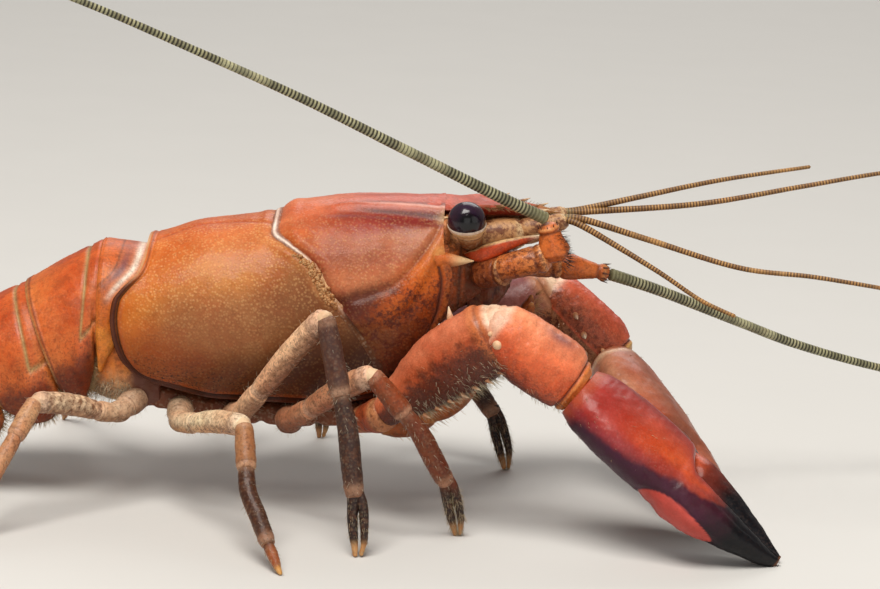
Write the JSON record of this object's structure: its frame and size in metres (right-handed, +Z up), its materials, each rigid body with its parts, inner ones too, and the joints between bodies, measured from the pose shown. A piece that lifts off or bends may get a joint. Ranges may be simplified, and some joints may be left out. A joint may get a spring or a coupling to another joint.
{
  "type": "freshwater crayfish figure",
  "caption": "Life-size still figure of a freshwater crayfish standing on its walking legs with its claws lowered to the ground in front of its head.",
  "frame": {"origin": "bottom centre of the bounding box of the whole figure, on the ground the legs stand on", "axes": "+X towards the head and claws, +Y to the animal's left, +Z up"},
  "size_m": [0.1748, 0.0706, 0.0658],
  "materials": {
    "shell": "smooth, finely speckled, slightly glossy shell",
    "claw_shell": "smooth glossy shell with dark finger tips",
    "leg_shell": "satin shell with dark speckles and short bristles",
    "membrane": "satin, softer looking skin between the plates",
    "dark_tip": "glossy blue-black",
    "eye": "polished dark dome",
    "feeler": "satin, finely ringed"
  },
  "bodies": {
    "root": {"antenna_base_L": "claw_shell", "antenna_base_R": "claw_shell", "antenna_whip_inner_L": "feeler", "antenna_whip_inner_R": "feeler", "antenna_whip_outer_L": "feeler", "antenna_whip_outer_R": "feeler", "antennal_scale_L": "claw_shell", "antennal_scale_R": "claw_shell", "antennule_L": "membrane", "antennule_R": "membrane", "carapace_head": "shell", "carapace_thorax": "shell", "claw_arm_L": "claw_shell", "claw_arm_R": "claw_shell", "claw_finger_L": "dark_tip", "claw_finger_R": "dark_tip", "claw_hand_L": "claw_shell", "claw_hand_R": "claw_shell", "claw_shoulder_L": "leg_shell", "claw_shoulder_R": "leg_shell", "claw_wrist_L": "claw_shell", "claw_wrist_R": "claw_shell", "epistome": "membrane", "eye_L": "eye", "eye_R": "eye", "eyestalk_L": "membrane", "eyestalk_R": "membrane", "leg_2_L_shin": "leg_shell", "leg_2_L_thigh": "leg_shell", "leg_2_R_shin": "leg_shell", "leg_2_R_thigh": "leg_shell", "leg_3_L_shin": "leg_shell", "leg_3_L_thigh": "leg_shell", "leg_3_R_shin": "leg_shell", "leg_3_R_thigh": "leg_shell", "leg_4_L_shin": "leg_shell", "leg_4_L_thigh": "leg_shell", "leg_4_R_shin": "leg_shell", "leg_4_R_thigh": "leg_shell", "leg_5_L_shin": "leg_shell", "leg_5_L_thigh": "leg_shell", "leg_5_R_shin": "leg_shell", "leg_5_R_thigh": "leg_shell", "maxilliped_L": "leg_shell", "maxilliped_R": "leg_shell", "mouthparts": "leg_shell", "sternum": "membrane", "tail_plate_inner_L": "shell", "tail_plate_inner_R": "shell", "tail_plate_outer_L": "shell", "tail_plate_outer_R": "shell", "tail_ring_1": "shell", "tail_ring_2": "shell", "tail_ring_3": "shell", "tail_ring_4": "shell", "tail_ring_5": "shell", "tail_ring_6": "shell", "telson": "shell"}
  },
  "joints": []
}
